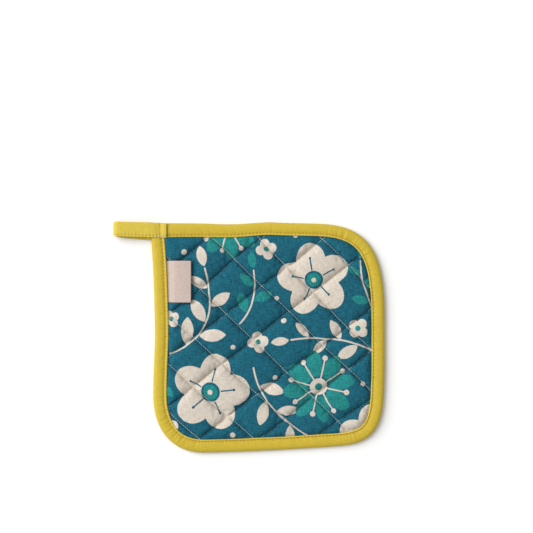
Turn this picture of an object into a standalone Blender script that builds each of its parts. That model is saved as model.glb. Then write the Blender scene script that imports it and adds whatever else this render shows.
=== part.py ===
"""A square quilted pot holder with a bound edge and a hanging loop, lying flat.

The pad is printed cotton quilted over wadding and cut to a square with three round
corners. One strip of folded tape binds its edge. The strip's free end is turned back
on itself at the square corner and makes the hanging loop. A plain woven tab is sewn
in at the left side.

Metres, +Z up. The pad lies on the table, Z = 0, with its printed side up, and the
origin is under the middle of the whole object, loop included.
"""

import math
from collections import namedtuple

import bmesh
import bpy
import numpy as np
from mathutils import Vector
from mathutils.geometry import interpolate_bezier

MM = 0.001

# The tape: its faces on the pad, its wall of two plies, and the height of the bound edge.
TAPE_FACE = 11.3 * MM
TAPE_WALL = 1.0 * MM
BOUND_HEIGHT = 5.4 * MM
NOSE_DEPTH = 4.0 * MM
CLEARANCE = 0.3 * MM

# The pad: its puffs, its thickness at a row of stitches, and the rim inside the tape.
PUFF_TOP = 8.0 * MM
PUFF_FULLNESS = 2.6
SEAM_TOP = 4.5 * MM
SEAM_BOTTOM = 1.2 * MM
FLAT_UNDERSIDE = 1.6
RIM_BOTTOM = TAPE_WALL + CLEARANCE
RIM_TOP = BOUND_HEIGHT - TAPE_WALL - CLEARANCE

# How the tape squeezes the pad: the room for it, low to high, at each depth from the
# outer edge. The first is its cut edge in the fold, the last is clear of its puffs.
Squeeze = namedtuple("Squeeze", "depth low high")
SQUEEZES = (
    Squeeze(NOSE_DEPTH - 0.6 * MM, RIM_BOTTOM, RIM_TOP),
    Squeeze(TAPE_FACE + CLEARANCE, RIM_BOTTOM, RIM_TOP),
    Squeeze(TAPE_FACE + 0.9 * MM, 0.4 * MM, 5.7 * MM),
    Squeeze(TAPE_FACE + 3.0 * MM, -0.6 * MM, 7.0 * MM),
    Squeeze(TAPE_FACE + 8.0 * MM, -1.0 * MM, PUFF_TOP + 0.6 * MM),
)

# The loop: a tape of four plies, turned back on itself round an open eye.
LOOP_WIDTH = 12.6 * MM
LOOP_PLY = 1.3 * MM
LOOP_REACH = 31.3 * MM
LOOP_EYE = 5.2 * MM

# The loop's two layers, in millimetres. Each bend is how far out from the square corner
# the tape's middle is, how far aside of the corner's strip, and how high. The lower layer
# runs from the corner to the tip, the upper one back from the tip and over the corner.
Bend = namedtuple("Bend", "out aside height")
LOOP_LOWER = (
    Bend(0.3, -2.0, 2.7),  # butted to the binding's edge
    Bend(2.5, -1.8, 2.4),
    Bend(6.0, -1.6, 1.15),
    Bend(9.5, -1.3, 0.65),  # down on the table
    Bend(21.0, -0.3, 0.65),
)
LOOP_TIP_ASIDE = 0.9 * MM
LOOP_UPPER = (
    Bend(19.0, 0.7, 7.1),
    Bend(6.0, 0.3, 6.65),
    Bend(-1.0, 0.1, 6.35),  # on the binding
    Bend(-8.8, 0.0, 6.35),  # stitched down across here
    Bend(-11.8, 0.0, 6.85),  # thicker where its end is turned under
    Bend(-14.8, 0.0, 6.85),
)

# The tab's side view: its middle, in millimetres, from under the tape to its free end.
TAB_LOW, TAB_HIGH = 30.2 * MM, 66.1 * MM
TAB_PLY = 0.8 * MM
Rise = namedtuple("Rise", "x height")
TAB_RISES = (
    Rise(-74.6, 3.7),
    Rise(-69.6, 3.7),
    Rise(-67.4, 5.3),
    Rise(-64.6, 7.2),
    Rise(-61.5, 7.9),
    Rise(-57.0, 8.2),
    Rise(-49.9, 8.2),
)

# The outer edge seen from above, in the order in which the tape is sewn on. Lengths are
# in millimetres and headings in degrees from +X. The pulls are the handles that shape
# the curve on either side of each place.
Place = namedtuple("Place", "x y heading pull_before pull_after")
EDGE = (
    Place(-86.0, 98.6, -84, 0, 34),  # square corner, down the left side
    Place(-81.3, 3.6, -89, 31, 10),  # waist of the left side
    Place(-82.8, -50.0, -90, 23, 31),  # lower left corner begins
    Place(-38.6, -99.6, 1, 27, 36),  # and ends
    Place(77.2, -94.0, 4, 38, 29),  # lower right corner begins
    Place(116.4, -51.0, 87, 28, 24),  # and ends
    Place(117.2, 19.0, 90, 23, 56),  # upper right corner begins
    Place(60.7, 98.2, 178, 42, 13),  # and ends
    Place(21.6, 99.4, 177, 15, 12),  # crest of the wavy upper side
    Place(-28.5, 98.0, 177, 22, 15),  # dip of the upper side
    Place(-86.0, 98.6, 180, 22, 0),  # square corner again
)
EDGE_STEPS = 16
TAPE_STEP = 7.0 * MM

# The rows of quilting, in two sets that cross. Each is a straight line of stitches: how
# far it passes from the middle of the pad, and its angle to +X. The first and last of
# each set run just off the pad and close the cells there.
Row = namedtuple("Row", "offset_mm angle_deg")
PAD_MIDDLE = Vector((15.7 * MM, 0.0))
FALLING = (
    Row(128, -45),
    Row(93, -45),
    Row(56, -45),
    Row(29, -44),
    Row(-10, -44),
    Row(-42, -41),
    Row(-74, -41),
    Row(-104, -42),
    Row(-136, -43),
)
RISING = (
    Row(131, 38),
    Row(99, 38),
    Row(68.5, 40),
    Row(38, 37.5),
    Row(6, 38),
    Row(-34.5, 37),
    Row(-64.5, 38),
    Row(-95, 35),
    Row(-128, 35),
)
CELL_STEPS = (0.0, 0.12, 0.3, 0.5, 0.7, 0.88)

# The cloth draws up unevenly between the rows, which bends them a little.
WOBBLE = 0.9 * MM
WOBBLE_LENGTH = 17.0 * MM


def clear_scene():
    for obj in list(bpy.data.objects):
        bpy.data.objects.remove(obj, do_unlink=True)


def collection(name, hidden=False):
    made = bpy.data.collections.new(name)
    made.hide_render = hidden
    bpy.context.scene.collection.children.link(made)
    return made


def material(name, colour, roughness):
    """A cotton finish: base colour as linear RGB, no metal."""
    made = bpy.data.materials.new(name)
    made.use_nodes = True
    shader = made.node_tree.nodes["Principled BSDF"]
    shader.inputs["Base Color"].default_value = (*colour, 1.0)
    shader.inputs["Roughness"].default_value = roughness
    shader.inputs["Metallic"].default_value = 0.0
    return made


def heading(degrees):
    return Vector((math.cos(math.radians(degrees)), math.sin(math.radians(degrees))))


def edge_line():
    """The outer edge as close points, from the square corner round to it again."""
    points = []
    for a, b in zip(EDGE, EDGE[1:]):
        start, end = Vector((a.x, a.y)) * MM, Vector((b.x, b.y)) * MM
        leaving = start + heading(a.heading) * a.pull_after * MM
        arriving = end - heading(b.heading) * b.pull_before * MM
        points += interpolate_bezier(start, leaving, arriving, end, EDGE_STEPS)[:-1]
    return np.array([p[:2] for p in points] + [[EDGE[-1].x * MM, EDGE[-1].y * MM]])


EDGE_LINE = edge_line()


def stations():
    """The tape's cross sections: points along the edge, each with its inward direction."""
    steps = np.linalg.norm(np.diff(EDGE_LINE, axis=0), axis=1)
    travelled = np.concatenate([[0.0], np.cumsum(steps)])
    start = TAPE_FACE + CLEARANCE
    count = round((travelled[-1] - start) / TAPE_STEP) + 1
    places = np.linspace(start, travelled[-1], count)
    points = np.stack([np.interp(places, travelled, EDGE_LINE[:, k]) for k in range(2)], 1)
    along = np.gradient(points, axis=0)
    return [(Vector(p), Vector(a).normalized().orthogonal()) for p, a in zip(points, along)]


def row_line(rows, place):
    """(normal, offset) of the line at a place among the rows: 2.5 is halfway from row 2 to 3."""
    index = min(int(place), len(rows) - 2)
    share = place - index
    lines = []
    for row in rows[index : index + 2]:
        normal = heading(row.angle_deg + 90)
        lines.append((normal, normal.dot(PAD_MIDDLE) + row.offset_mm * MM))
    (n0, o0), (n1, o1) = lines
    return n0.lerp(n1, share), o0 + (o1 - o0) * share


def wobble(x, y):
    """How far the cloth at a place has been drawn aside, in the plane."""
    return Vector(
        (
            WOBBLE * math.sin(y / WOBBLE_LENGTH + 0.8) * math.cos(x / WOBBLE_LENGTH * 0.7),
            WOBBLE * math.sin(x / WOBBLE_LENGTH * 1.2 - 0.5) * math.cos(y / WOBBLE_LENGTH * 0.8),
        )
    )


def crossing(across, along):
    """Where a line of each set crosses, for two places between the rows."""
    (na, oa), (nb, ob) = row_line(FALLING, across), row_line(RISING, along)
    det = na.x * nb.y - na.y * nb.x
    x, y = (oa * nb.y - ob * na.y) / det, (na.x * ob - nb.x * oa) / det
    return Vector((x, y)) + wobble(x, y)


def cell_puff(share):
    """How full a cell is at a share of the way across it: 0 on a row, 1 in the middle."""
    return 1.0 - abs(2.0 * share - 1.0) ** PUFF_FULLNESS


def puff_heights(across, along):
    """(low, high) of the quilting. The underside's puffs are pressed flat on the table."""
    full = cell_puff(across % 1.0) * cell_puff(along % 1.0)
    low = SEAM_BOTTOM * (1.0 - min(1.0, FLAT_UNDERSIDE * full))
    return low, SEAM_TOP + (PUFF_TOP - SEAM_TOP) * full


def sheet(name, rows, columns, place):
    """An open surface of rows by columns of faces, each point where place(row, column) says."""
    bm = bmesh.new()
    bmesh.ops.create_grid(bm, x_segments=rows, y_segments=columns, size=1.0)
    for vert in bm.verts:
        row = round((vert.co.x + 1.0) / 2.0 * rows)
        column = round((vert.co.y + 1.0) / 2.0 * columns)
        vert.co = place(row, column)
    mesh = bpy.data.meshes.new(name)
    bm.to_mesh(mesh)
    bm.free()
    return bpy.data.objects.new(name, mesh)


def swept(name, path, section):
    """A surface swept along the edge. The section's points are (depth inwards, height)."""

    def place(row, column):
        point, inward = path[row]
        depth, height = section[column]
        return (*(point + inward * depth), height)

    return sheet(name, len(path) - 1, len(section) - 1, place)


def thicken(obj, thickness, offset):
    """Solidify: offset 1 grows the wall out of the faces, -1 into them."""
    wall = obj.modifiers.new("Wall", "SOLIDIFY")
    wall.thickness = thickness
    wall.offset = offset
    wall.use_even_offset = True


def finish(obj, into, finish_material, angle_deg=35):
    obj.data.materials.append(finish_material)
    obj.data.shade_smooth()
    obj.data.set_sharp_from_angle(angle=math.radians(angle_deg))
    into.objects.link(obj)
    return obj


def as_cutter(tube, into):
    """Joins a tube's long edges, caps its ends and keeps it among the cutters."""
    bm = bmesh.new()
    bm.from_mesh(tube.data)
    bmesh.ops.remove_doubles(bm, verts=bm.verts, dist=1e-6)
    bmesh.ops.holes_fill(bm, edges=bm.edges)
    bmesh.ops.recalc_face_normals(bm, faces=bm.faces)
    bm.to_mesh(tube.data)
    bm.free()
    tube.hide_render = True
    tube.display_type = "WIRE"
    into.objects.link(tube)
    return tube


def squeezed_outline(into):
    """The room that the cut outline and the tape leave for the quilted cloth.

    Stations close to the square corner are left out, as its deep sections would cross.
    """
    reach = 1.3 * SQUEEZES[-1].depth
    corner = Vector((EDGE[0].x, EDGE[0].y)) * MM
    left, top = heading(EDGE[0].heading + 90), heading(EDGE[-1].heading + 90)
    mitre = (corner, (left + top) / (1.0 + left.dot(top)))
    path = [(p, inward) for p, inward in stations() if (p - corner).length > reach]
    path = [mitre] + path + [mitre]
    low = [(s.depth, s.low) for s in reversed(SQUEEZES)]
    high = [(s.depth, s.high) for s in SQUEEZES]
    return as_cutter(swept("squeezed_outline", path, low + high), into)


def quilted_pad(into, cutters, cloth):
    """Printed cloth, wadding and backing, quilted in crossing rows and then cut out."""
    places = [cell + step for cell in range(len(FALLING) - 1) for step in CELL_STEPS]
    places.append(len(FALLING) - 1.0)
    last = len(places) - 1

    pad = sheet("quilted_pad", last, last, lambda row, column: (row, column, 0.0))
    bm = bmesh.new()
    bm.from_mesh(pad.data)
    lower = list(bm.verts)
    grown = bmesh.ops.extrude_face_region(bm, geom=bm.faces[:])["geom"]
    upper = [v for v in grown if isinstance(v, bmesh.types.BMVert)]
    for side, verts in enumerate((lower, upper)):
        for vert in verts:
            across, along = places[round(vert.co.x)], places[round(vert.co.y)]
            vert.co = (*crossing(across, along), puff_heights(across, along)[side])
    bmesh.ops.recalc_face_normals(bm, faces=bm.faces)
    bm.to_mesh(pad.data)
    bm.free()

    cut = pad.modifiers.new("Cut to the outline", "BOOLEAN")
    cut.operation = "INTERSECT"
    cut.object = squeezed_outline(cutters)
    pressed = pad.modifiers.new("Pressed by the tab", "BOOLEAN")
    pressed.operation = "DIFFERENCE"
    pressed.object = tab_bed(cutters)
    return finish(pad, into, cloth)


def tape_section():
    """(depth, height) across the tape's outer face: its upper edge, its fold, its lower edge."""
    half = BOUND_HEIGHT / 2.0
    upper = [
        (TAPE_FACE, BOUND_HEIGHT - 0.2 * MM),
        (TAPE_FACE - 3.0 * MM, BOUND_HEIGHT),
        (NOSE_DEPTH + 1.5 * MM, BOUND_HEIGHT),
    ]
    nose = []
    for degrees in range(75, -76, -25):
        turn = math.radians(degrees)
        nose.append((NOSE_DEPTH * (1.0 - math.cos(turn)), half * (1.0 + math.sin(turn))))
    lower = [(NOSE_DEPTH + 0.5 * MM, 0.0), (TAPE_FACE, 0.0)]
    return upper + nose + lower


def edge_binding(into, cotton):
    """The folded tape round the pad, from the left side's upper end to the square corner."""
    binding = swept("edge_binding", stations(), tape_section())
    thicken(binding, TAPE_WALL, 1.0)
    return finish(binding, into, cotton)


def loop_path():
    """The loop's middle, (x, y, height), from the corner to the tip and back over it."""
    corner, middle = EDGE[0].x * MM, EDGE[0].y * MM - LOOP_WIDTH / 2.0

    def layer(bends):
        return [(corner - b.out * MM, middle + b.aside * MM, b.height * MM) for b in bends]

    turn = (LOOP_EYE + LOOP_PLY) / 2.0
    centre = corner - LOOP_REACH + LOOP_PLY / 2.0 + turn
    fold = []
    for degrees in range(-90, 91, 20):
        angle = math.radians(degrees)
        height = LOOP_PLY / 2.0 + turn * (1.0 + math.sin(angle))
        fold.append((centre - turn * math.cos(angle), middle + LOOP_TIP_ASIDE, height))
    return layer(LOOP_LOWER) + fold + layer(LOOP_UPPER)


def hanging_loop(into, cotton):
    """The tape's free end, turned back over the square corner and stitched down there."""
    path = loop_path()

    def place(row, column):
        x, y, height = path[row]
        return x, y + LOOP_WIDTH * (column / 2.0 - 0.5), height

    loop = sheet("hanging_loop", len(path) - 1, 2, place)
    thicken(loop, LOOP_PLY, 0.0)
    return finish(loop, into, cotton)


def tab_bed(into):
    """The hollow that the tab presses into the quilting: its side view, and all above."""
    room = TAB_PLY / 2.0 + CLEARANCE
    profile = [[rise.x * MM, rise.height * MM - room] for rise in TAB_RISES]
    profile[0][0] -= CLEARANCE
    profile[-1][0] += CLEARANCE
    near, far, high = TAB_LOW - CLEARANCE, TAB_HIGH + CLEARANCE, 2.0 * PUFF_TOP

    def place(row, column):
        x, low = profile[row]
        corners = ((near, high), (near, low), (far, low), (far, high), (near, high))
        return (x, *corners[column])

    return as_cutter(sheet("tab_bed", len(profile) - 1, 4, place), into)


def side_tab(into, weave):
    """A plain woven tab, sewn in under the tape and lying over the puffs beside it."""

    def place(row, column):
        rise = TAB_RISES[row]
        return rise.x * MM, TAB_LOW + (TAB_HIGH - TAB_LOW) * column / 4.0, rise.height * MM

    tab = sheet("side_tab", len(TAB_RISES) - 1, 4, place)
    thicken(tab, TAB_PLY, 0.0)
    return finish(tab, into, weave)


def main():
    clear_scene()
    made = collection("pot_holder")
    cutters = collection("cutters", hidden=True)
    printed = material("printed_cotton", (0.018, 0.110, 0.165), 0.85)
    yellow = material("yellow_cotton", (0.645, 0.485, 0.050), 0.80)
    woven = material("woven_tab", (0.690, 0.530, 0.480), 0.75)
    quilted_pad(made, cutters, printed)
    edge_binding(made, yellow)
    hanging_loop(made, yellow)
    side_tab(made, woven)


main()
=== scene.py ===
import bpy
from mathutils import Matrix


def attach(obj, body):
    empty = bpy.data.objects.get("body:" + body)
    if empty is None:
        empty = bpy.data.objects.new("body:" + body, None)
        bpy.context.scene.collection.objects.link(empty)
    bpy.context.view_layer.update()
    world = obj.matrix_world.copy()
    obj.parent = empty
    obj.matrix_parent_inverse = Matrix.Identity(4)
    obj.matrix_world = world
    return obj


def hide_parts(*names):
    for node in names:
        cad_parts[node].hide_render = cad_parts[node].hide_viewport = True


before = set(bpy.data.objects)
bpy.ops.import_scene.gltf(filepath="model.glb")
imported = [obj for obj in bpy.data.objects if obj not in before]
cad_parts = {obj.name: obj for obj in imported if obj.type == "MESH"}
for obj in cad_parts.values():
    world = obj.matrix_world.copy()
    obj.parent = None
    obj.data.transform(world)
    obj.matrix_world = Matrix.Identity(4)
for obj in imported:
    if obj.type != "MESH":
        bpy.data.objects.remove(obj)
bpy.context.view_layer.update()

import math
from collections import namedtuple

import bmesh
import bpy
import numpy as np
from mathutils import Vector, noise
from mathutils.bvhtree import BVHTree

# The printed pad. Cotton over wadding, quilted by machine in two sets of rows that cross,
# then cut to a square with three round corners. The cloth is longer than the rows that
# hold it, so it stands up in puffs between them and puckers beside the stitches.

MM = 0.001

# The cut edge seen from above, in millimetres, as the tape goes round it. Headings are in
# degrees from +X, and the pulls are the handles of the curve on either side.
Place = namedtuple("Place", "x y heading pull_before pull_after")
EDGE = (
    Place(-86.0, 98.6, -84, 0, 34),
    Place(-81.3, 3.6, -89, 31, 10),
    Place(-82.8, -50.0, -90, 23, 31),
    Place(-38.6, -99.6, 1, 27, 36),
    Place(77.2, -94.0, 4, 38, 29),
    Place(116.4, -51.0, 87, 28, 24),
    Place(117.2, 19.0, 90, 23, 56),
    Place(60.7, 98.2, 178, 42, 13),
    Place(21.6, 99.4, 177, 15, 12),
    Place(-28.5, 98.0, 177, 22, 15),
    Place(-86.0, 98.6, 180, 22, 0),
)

# The rows of stitches: how far each passes from the pad's middle, and its angle to +X.
Row = namedtuple("Row", "offset_mm angle_deg")
PAD_MIDDLE_MM = (15.7, 0.0)
FALLING = (
    Row(128, -45),
    Row(93, -45),
    Row(56, -45),
    Row(29, -44),
    Row(-10, -44),
    Row(-42, -41),
    Row(-74, -41),
    Row(-104, -42),
    Row(-136, -43),
)
RISING = (
    Row(131, 38),
    Row(99, 38),
    Row(68.5, 40),
    Row(38, 37.5),
    Row(6, 38),
    Row(-34.5, 37),
    Row(-64.5, 38),
    Row(-95, 35),
    Row(-128, 35),
)
# The rows wander this much out of true, in bends of about this length.
WANDER_MM, WANDER_SPAN_MM = 0.9, 17.0
# The cloth's own grid, the tape's width on it, its cut edge inside the tape's fold, and the
# undersides and tops of the rim, of the rows and of the puffs.
EDGE_STEPS = 24
CLOTH_STEP_MM = 1.5
TAPE_FACE_MM = 11.3
CUT_EDGE_MM = 4.2
RIM_LOW_MM, RIM_HIGH_MM = 1.5, 4.0
SEAM_LOW_MM, SEAM_HIGH_MM = 1.2, 4.4
PUFF_HIGH_MM = 8.0
PUFF_FULLNESS = 2.6
# How far past its own edge the tape holds the cloth, and the band beyond that it squeezes.
HELD_PAST_MM = 0.6
SQUEEZE_PAST_MM, SQUEEZE_OVER_MM = 0.4, 7.0


def heading(degrees):
    return np.array((math.cos(math.radians(degrees)), math.sin(math.radians(degrees))))


def edge_line(steps):
    """The edge as close points in millimetres, from the square corner round to it again."""
    share = np.linspace(0.0, 1.0, steps, endpoint=False)[:, None]
    runs = []
    for a, b in zip(EDGE, EDGE[1:]):
        p0, p3 = np.array((a.x, a.y)), np.array((b.x, b.y))
        p1, p2 = p0 + heading(a.heading) * a.pull_after, p3 - heading(b.heading) * b.pull_before
        near = (1 - share) ** 3 * p0 + 3 * (1 - share) ** 2 * share * p1
        runs.append(near + 3 * (1 - share) * share**2 * p2 + share**3 * p3)
    return np.concatenate(runs + [[(EDGE[-1].x, EDGE[-1].y)]])


def depth_in(points, line):
    """(depth, inward direction) of each point from the edge. Depth is below 0 outside it."""
    a, along = line[:-1], np.diff(line, axis=0)
    length2 = (along**2).sum(1)
    depth, inward = [], []
    for part in np.array_split(points, max(1, len(points) // 4000)):
        offset = part[:, None] - a[None]
        share = np.clip((offset * along).sum(2) / length2, 0.0, 1.0)
        gap = offset - share[..., None] * along
        far = (gap**2).sum(2)
        nearest = far.argmin(1)
        rows = np.arange(len(part))
        run = along[nearest]
        side = np.sign(run[:, 0] * gap[rows, nearest, 1] - run[:, 1] * gap[rows, nearest, 0])
        depth.append(side * np.sqrt(far[rows, nearest]))
        left = np.stack((-run[:, 1], run[:, 0]), 1)
        inward.append(left / np.linalg.norm(left, axis=1, keepdims=True))
    return np.concatenate(depth), np.concatenate(inward)


def row_lines(rows, places):
    """(normals, offsets) of the lines at places among the rows: 2.5 is between rows 2 and 3."""
    normals = np.array([heading(row.angle_deg + 90) for row in rows])
    offsets = normals @ np.array(PAD_MIDDLE_MM) + np.array([row.offset_mm for row in rows])
    index = np.arange(len(rows))
    turned = [np.interp(places, index, normals[:, k]) for k in range(2)]
    return np.stack(turned, -1), np.interp(places, index, offsets)


def crossings(across, along):
    """Where each line of one set crosses each of the other, drawn a little out of true."""
    (na, oa), (nb, ob) = row_lines(FALLING, across), row_lines(RISING, along)
    na, oa, nb, ob = na[:, None], oa[:, None], nb[None], ob[None]
    det = na[..., 0] * nb[..., 1] - na[..., 1] * nb[..., 0]
    x = (oa * nb[..., 1] - ob * na[..., 1]) / det
    y = (na[..., 0] * ob - nb[..., 0] * oa) / det
    dx = WANDER_MM * np.sin(y / WANDER_SPAN_MM + 0.8) * np.cos(x / WANDER_SPAN_MM * 0.7)
    dy = WANDER_MM * np.sin(x / WANDER_SPAN_MM * 1.2 - 0.5) * np.cos(y / WANDER_SPAN_MM * 0.8)
    return np.stack((x + dx, y + dy), -1)


def row_places(rows, step_mm):
    """Places from the first row to the last, a whole number of steps to each cell."""
    places = []
    for index, (a, b) in enumerate(zip(rows, rows[1:])):
        steps = max(2, round(abs(a.offset_mm - b.offset_mm) / step_mm))
        places += [index + k / steps for k in range(steps)]
    return np.array(places + [len(rows) - 1.0])


def fullness(places):
    """How full the puffs are at places among the rows, from 0 at a row to 1 midway."""
    return 1.0 - np.abs(2.0 * (places % 1.0) - 1.0) ** PUFF_FULLNESS


def soft_noise(points_mm, grain_mm, seed):
    """Smooth noise from -1 to 1 at points in millimetres, with lumps of about one grain."""
    shift = Vector((seed * 17.3, seed * 7.1, seed * 3.7))
    return np.array([noise.noise(Vector(p) / grain_mm + shift) for p in points_mm])


edge_mm = edge_line(EDGE_STEPS)
across, along = row_places(FALLING, CLOTH_STEP_MM), row_places(RISING, CLOTH_STEP_MM)
grid = crossings(across, along)
shape = grid.shape[:2]
depth, inward = (a.reshape(*shape, -1) for a in depth_in(grid.reshape(-1, 2), edge_mm))
depth = depth[..., 0]
inside = depth > CUT_EDGE_MM
cells = inside[:-1, :-1] & inside[1:, :-1] & inside[:-1, 1:] & inside[1:, 1:]
round_about = np.zeros(shape, int)
for di in (0, 1):
    for dj in (0, 1):
        round_about[di : shape[0] - 1 + di, dj : shape[1] - 1 + dj] += cells
used = round_about > 0
cut = used & (round_about < 4)
grid[cut] -= inward[cut] * (depth[cut] - CUT_EDGE_MM)[:, None]

full = fullness(across)[:, None] * fullness(along)[None]
open_cloth = np.clip((depth - TAPE_FACE_MM - SQUEEZE_PAST_MM) / SQUEEZE_OVER_MM, 0.0, 1.0)
open_cloth = open_cloth * (2.0 - open_cloth)
upper = SEAM_HIGH_MM + (PUFF_HIGH_MM - SEAM_HIGH_MM) * full
upper = RIM_HIGH_MM + (upper - RIM_HIGH_MM) * open_cloth
lower = SEAM_LOW_MM * (1.0 - np.clip(1.6 * full, 0.0, 1.0))
lower = RIM_LOW_MM + (lower - RIM_LOW_MM) * open_cloth
on_row = (across % 1.0 < 1e-9)[:, None] | (along % 1.0 < 1e-9)[None]
held = on_row | (depth < TAPE_FACE_MM + HELD_PAST_MM)


def placed(name, data):
    """A new object in the scene, at the origin."""
    made = bpy.data.objects.new(name, data)
    bpy.context.scene.collection.objects.link(made)
    return made


def cloth_grid(name, heights_mm):
    """The cells inside the cut edge as one open sheet at these heights."""
    number = np.full(shape, -1)
    number[used] = np.arange(used.sum())
    corner = number[:-1, :-1][cells], number[1:, :-1][cells]
    corner += number[1:, 1:][cells], number[:-1, 1:][cells]
    mesh = bpy.data.meshes.new(name)
    points = np.dstack((grid, heights_mm))[used]
    mesh.from_pydata((points * MM).tolist(), [], np.stack(corner, 1).tolist())
    return placed(name, mesh)


def plain_copy(obj, name):
    """A finished piece: the object's evaluated mesh with no modifiers left, at the origin."""
    bpy.context.view_layer.update()
    deps = bpy.context.evaluated_depsgraph_get()
    mesh = bpy.data.meshes.new_from_object(obj.evaluated_get(deps), depsgraph=deps)
    mesh.transform(obj.matrix_world)
    mesh.name = name
    bpy.data.objects.remove(obj)
    return placed(name, mesh)


def points_of(mesh):
    """The mesh's points in millimetres."""
    flat = np.empty(len(mesh.vertices) * 3)
    mesh.vertices.foreach_get("co", flat)
    return flat.reshape(-1, 3) / MM


def set_points(mesh, points_mm):
    mesh.vertices.foreach_set("co", (points_mm * MM).ravel())
    mesh.update()


def store(mesh, name, values, kind="FLOAT"):
    """Keeps a number, or three, for each point, for a material to read."""
    field = "vector" if kind == "FLOAT_VECTOR" else "value"
    mesh.attributes.new(name, kind, "POINT").data.foreach_set(field, np.ravel(values))


# The cloth is blown up between its rows at twenty times life size, where the usual
# stiffnesses of a shirt cotton hold. It is 6% longer than the rows, and buckles beside them.
SIM_SCALE = 20.0
SIM_FRAMES = 12
CLOTH_SLACK = 0.06
WADDING_PRESSURE = 5.0
# It starts a little crumpled, or it would rise too evenly.
CRUMPLE_MM, CRUMPLE_GRAIN_MM = 0.35, 9.0

top = cloth_grid("pad_top", upper)
rest = points_of(top.data)
store(top.data, "cloth_mm", rest * (1.0, 1.0, 0.0), "FLOAT_VECTOR")
is_held = held[used]
start = rest.copy()
start[~is_held, 2] += CRUMPLE_MM * soft_noise(rest[~is_held], CRUMPLE_GRAIN_MM, 1)
set_points(top.data, start * SIM_SCALE)
top.vertex_groups.new(name="stitched").add(np.where(is_held)[0].tolist(), 1.0, "REPLACE")
blown = top.modifiers.new("Cloth", "CLOTH")
cotton = blown.settings
cotton.quality = 5
cotton.tension_stiffness = cotton.compression_stiffness = 20.0
cotton.shear_stiffness = 10.0
cotton.bending_stiffness = 0.12
cotton.bending_damping = 1.0
cotton.air_damping = 2.0
cotton.vertex_group_mass = "stitched"
cotton.shrink_min = -CLOTH_SLACK
cotton.use_pressure = True
cotton.uniform_pressure_force = WADDING_PRESSURE
cotton.effector_weights.gravity = 0.0
blown.collision_settings.use_collision = False
for frame_number in range(1, SIM_FRAMES + 1):
    bpy.context.scene.frame_set(frame_number)
top = plain_copy(top, "pad_top")
bpy.context.scene.frame_set(1)
start = points_of(top.data) / SIM_SCALE

# What holds the cloth down again. A puff above the usual rise is flattened, and a row sinks
# into the wadding.
PUFF_RISE_MM, PUFF_FLATNESS, OVER_RISE = 3.6, 0.62, 0.4
ROW_SINK_MM = 0.6
# The tab at the left side presses the puffs too. This is its middle seen from the side, from
# under the tape to its free edge. The cloth lies TAB_PRESS_MM below that, and further below
# it towards the free edge. Beside and beyond the tab the cloth rises from it by these slopes.
Rise = namedtuple("Rise", "x height")
TAB_RISES = (
    Rise(-74.6, 3.7),
    Rise(-69.6, 3.7),
    Rise(-67.4, 5.3),
    Rise(-64.6, 7.2),
    Rise(-61.5, 7.9),
    Rise(-57.0, 8.4),
    Rise(-49.9, 8.7),
)
TAB_LOW_MM, TAB_HIGH_MM = 30.2, 66.1
TAB_PRESS_MM = 0.75
TAB_GAP_X_MM, TAB_GAP_MM = (-60.0, -52.0, -47.0), (0.0, 2.5, 2.7)
SLOPE_BESIDE_TAB, SLOPE_BEYOND_TAB = 1.3, 0.36
LEFT_OF_TAB_MM = -76.0
over = np.maximum(start[:, 2] - SEAM_HIGH_MM, 0.0)
over = PUFF_RISE_MM * (over / PUFF_RISE_MM) ** PUFF_FLATNESS
flatter = SEAM_HIGH_MM + over - OVER_RISE * np.maximum(over - PUFF_RISE_MM, 0.0)
start[:, 2] = np.where(over > 0.0, flatter, start[:, 2])
sewn = on_row[used] & (depth[used] > TAPE_FACE_MM + HELD_PAST_MM)
start[sewn, 2] -= ROW_SINK_MM
beside = np.maximum(np.maximum(TAB_LOW_MM - start[:, 1], start[:, 1] - TAB_HIGH_MM), 0.0)
beyond = np.maximum(start[:, 0] - TAB_RISES[-1].x, 0.0)
tab_x, tab_heights = np.array(TAB_RISES).T
limit = np.interp(start[:, 0], tab_x, tab_heights - TAB_PRESS_MM)
limit -= np.interp(start[:, 0], TAB_GAP_X_MM, TAB_GAP_MM)
limit = limit + SLOPE_BESIDE_TAB * beside + SLOPE_BEYOND_TAB * beyond
limit[start[:, 0] <= LEFT_OF_TAB_MM] = np.inf
start[:, 2] = np.minimum(start[:, 2], limit)
set_points(top.data, start)
ends = np.empty(len(top.data.edges) * 2, int)
top.data.edges.foreach_get("vertices", ends)
creased = sewn[ends.reshape(-1, 2)].all(1).astype(float)
top.data.attributes.new("crease_edge", "FLOAT", "EDGE").data.foreach_set("value", creased)
fine = top.modifiers.new("Fine", "SUBSURF")
fine.levels = fine.render_levels = 1
top = plain_copy(top, "pad_top")

# The back is the same cloth, pressed flat on the table, and is joined round the cut edge.
back = cloth_grid("pad_back", lower)
back.data.flip_normals()
shell = bmesh.new()
shell.from_mesh(top.data)
shell.from_mesh(back.data)
rims = [edge for edge in shell.edges if edge.is_boundary]
bmesh.ops.bridge_loops(shell, edges=rims)
bmesh.ops.triangulate(shell, faces=[f for f in shell.faces if len(f.verts) > 4])
bmesh.ops.recalc_face_normals(shell, faces=shell.faces)
printed = len(top.data.vertices)
cloth_mm = np.empty(printed * 3)
top.data.attributes["cloth_mm"].data.foreach_get("vector", cloth_mm)
cloth_mm = cloth_mm.reshape(-1, 3)
pad_mesh = bpy.data.meshes.new("quilted_cloth")
shell.to_mesh(pad_mesh)
shell.free()
pad = placed("quilted_cloth", pad_mesh)
bpy.data.objects.remove(top)
bpy.data.objects.remove(back)
pad_mesh.shade_smooth()

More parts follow.
